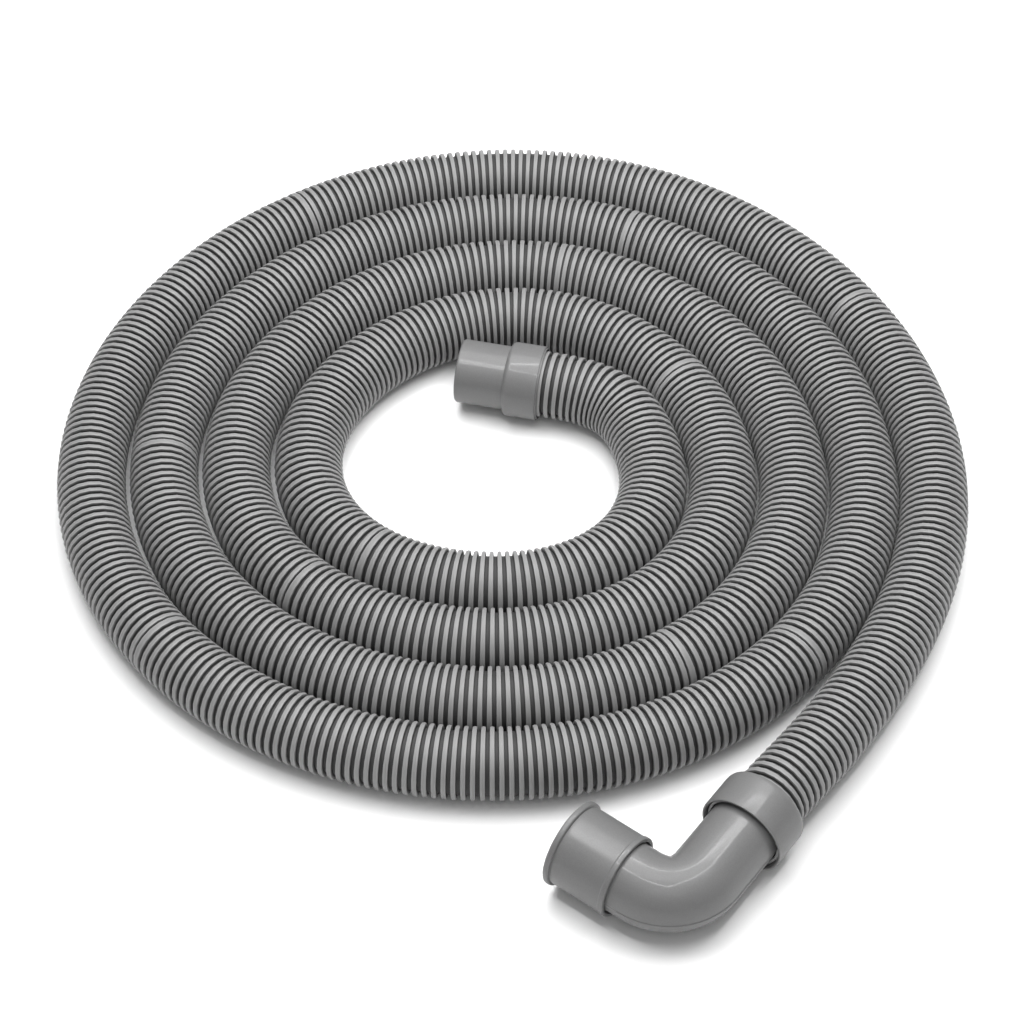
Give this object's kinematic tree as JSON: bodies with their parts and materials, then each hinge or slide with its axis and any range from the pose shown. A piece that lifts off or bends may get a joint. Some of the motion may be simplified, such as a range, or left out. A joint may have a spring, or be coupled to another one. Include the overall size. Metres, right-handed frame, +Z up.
{
  "type": "caravan waste hose kit",
  "caption": "Flexible corrugated grey drain hose wound in a flat coil, with a swivelling elbow and flared outlet socket on one end and a stepped swivel cuff on the other",
  "frame": {"origin": "middle of the footprint, on the surface that the hose lies on", "axes": "+Z up, across the flat coil; -X out of the outlet socket's mouth, along the elbow's outlet leg; +Y along the elbow's collar leg, towards the hose"},
  "size_m": [0.4613, 0.435, 0.0415],
  "materials": {
    "hose_plastic": "satin extruded polyethylene, fine ribs, a little dust in the grooves",
    "fitting_plastic": "injection-moulded polypropylene, soft gloss with faint flow marks and a mould parting line",
    "seal_rubber": "black moulded rubber",
    "ring_plastic": "dark grey acetal",
    "sleeve_plastic": "natural polypropylene"
  },
  "bodies": {
    "hose_body": {"hose": "hose_plastic", "hose_collar": "fitting_plastic", "elbow_retaining_ring": "ring_plastic", "collar_insert_sleeve": "sleeve_plastic", "collar_gasket": "seal_rubber", "collar_grip_ring": "ring_plastic", "cuff_retaining_ring": "ring_plastic", "cuff_gasket": "seal_rubber", "cuff_insert_sleeve": "sleeve_plastic"},
    "elbow_body": {"elbow": "fitting_plastic", "elbow_o_ring": "seal_rubber", "outlet_o_ring": "seal_rubber"},
    "outlet_body": {"outlet_socket": "fitting_plastic", "outlet_retaining_ring": "ring_plastic", "outlet_lip_seal": "seal_rubber"},
    "cuff_body": {"swivel_cuff": "fitting_plastic"}
  },
  "joints": [
    {"name": "elbow_swivel", "type": "hinge", "parent": "hose_body", "child": "elbow_body", "pos_m": [0.2099, -0.1202, 0.02075], "axis": [0, 1, 0], "continuous": true},
    {"name": "outlet_swivel", "type": "hinge", "parent": "elbow_body", "child": "outlet_body", "pos_m": [0.1749, -0.1742, 0.02075], "axis": [-1, 0, 0], "continuous": true},
    {"name": "cuff_swivel", "type": "hinge", "parent": "hose_body", "child": "cuff_body", "pos_m": [-0.03454, 0.04133, 0.019], "axis": [-0.9135, -0.4067, 0], "continuous": true}
  ]
}
